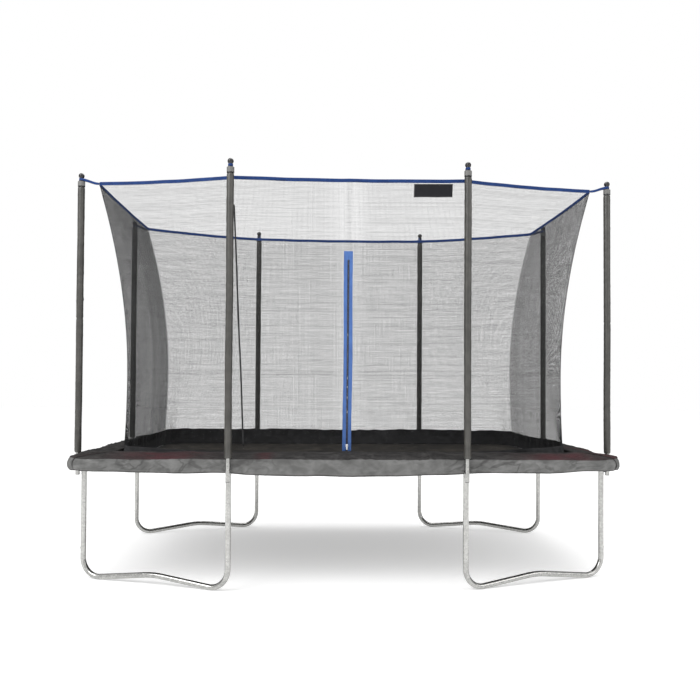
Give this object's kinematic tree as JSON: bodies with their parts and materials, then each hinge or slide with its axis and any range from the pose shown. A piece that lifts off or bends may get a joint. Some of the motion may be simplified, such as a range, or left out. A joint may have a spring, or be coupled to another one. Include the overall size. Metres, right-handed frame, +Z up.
{
  "type": "trampoline with enclosure",
  "caption": "Rectangular garden trampoline with a sprung mat, padded frame, outside poles and a net enclosure with a zipped door.",
  "frame": {"origin": "on the ground, under the middle of the frame", "axes": "+X along the long sides, +Z up, -Y the side with the zipped entrance"},
  "size_m": [3.763, 2.543, 2.808],
  "materials": {
    "galvanised_steel": "bright galvanised, faint spangle",
    "spring_steel": "zinc plated",
    "hardware": "zinc plated",
    "cap_plastic": "glossy black",
    "black_plastic": "matt black",
    "sleeve_fabric": "warm grey cloth over foam",
    "pad_cover": "coated cloth, near black, grey skirt",
    "mat_weave": "black woven polypropylene",
    "net_mesh": "fine dark mesh",
    "blue_webbing": "blue woven webbing",
    "black_webbing": "black tape",
    "label_cloth": "plain dark label",
    "zip_cloth": "blue zip tape",
    "zip_metal": "bright metal"
  },
  "bodies": {
    "root": {"rail_corner_front_left": "galvanised_steel", "rail_corner_front_right": "galvanised_steel", "rail_corner_back_left": "galvanised_steel", "rail_corner_back_right": "galvanised_steel", "rail_long_front": "galvanised_steel", "rail_short_right": "galvanised_steel", "rail_long_back": "galvanised_steel", "rail_short_left": "galvanised_steel", "leg_base_front_left": "galvanised_steel", "leg_base_front_right": "galvanised_steel", "leg_base_back_left": "galvanised_steel", "leg_base_back_right": "galvanised_steel", "leg_post_front_left": "galvanised_steel", "leg_post_front_right": "galvanised_steel", "leg_post_back_left": "galvanised_steel", "leg_post_back_right": "galvanised_steel", "leg_post_left_front": "galvanised_steel", "leg_post_left_back": "galvanised_steel", "leg_post_right_front": "galvanised_steel", "leg_post_right_back": "galvanised_steel", "pole_lower_front_left": "galvanised_steel", "pole_lower_front_right": "galvanised_steel", "pole_lower_back_left": "galvanised_steel", "pole_lower_back_right": "galvanised_steel", "pole_lower_left_front": "galvanised_steel", "pole_lower_left_back": "galvanised_steel", "pole_lower_right_front": "galvanised_steel", "pole_lower_right_back": "galvanised_steel", "pole_upper_front_left": "galvanised_steel", "pole_upper_front_right": "galvanised_steel", "pole_upper_back_left": "galvanised_steel", "pole_upper_back_right": "galvanised_steel", "pole_upper_left_front": "galvanised_steel", "pole_upper_left_back": "galvanised_steel", "pole_upper_right_front": "galvanised_steel", "pole_upper_right_back": "galvanised_steel", "pad_front": "pad_cover", "pad_right": "pad_cover", "pad_back": "pad_cover", "pad_left": "pad_cover", "pole_sleeves": "sleeve_fabric", "pole_caps": "cap_plastic", "pole_plugs": "black_plastic", "pole_spacers": "black_plastic", "pole_bolts": "hardware", "pole_nuts": "hardware", "leg_screws": "hardware", "rail_screws": "hardware", "springs": "spring_steel", "safety_net": "net_mesh", "net_rim": "blue_webbing", "net_straps": "blue_webbing", "net_seam_tape": "black_webbing", "net_label": "label_cloth", "zip_tapes": "zip_cloth"},
    "bed": {"jump_mat": "mat_weave", "v_rings": "hardware"},
    "slider": {"zip_slider": "zip_metal"},
    "pull": {"zip_pull": "zip_metal"}
  },
  "joints": [
    {"name": "bed_bounce", "type": "slide", "parent": "root", "child": "bed", "axis": [0, 0, 1], "range_m": [-0.15, 0], "stiffness_N_per_m": 9000, "springref_m": 0.02, "deforming": ["springs"]},
    {"name": "zip_slide", "type": "slide", "parent": "root", "child": "slider", "axis": [0, -0.0918, 0.9958], "range_m": [0, 1.235]},
    {"name": "zip_pull_swing", "type": "hinge", "parent": "slider", "child": "pull", "pos_m": [0, -0.97244, 0.92703], "axis": [-1, 0, 0], "range_deg": [0, 150]}
  ]
}
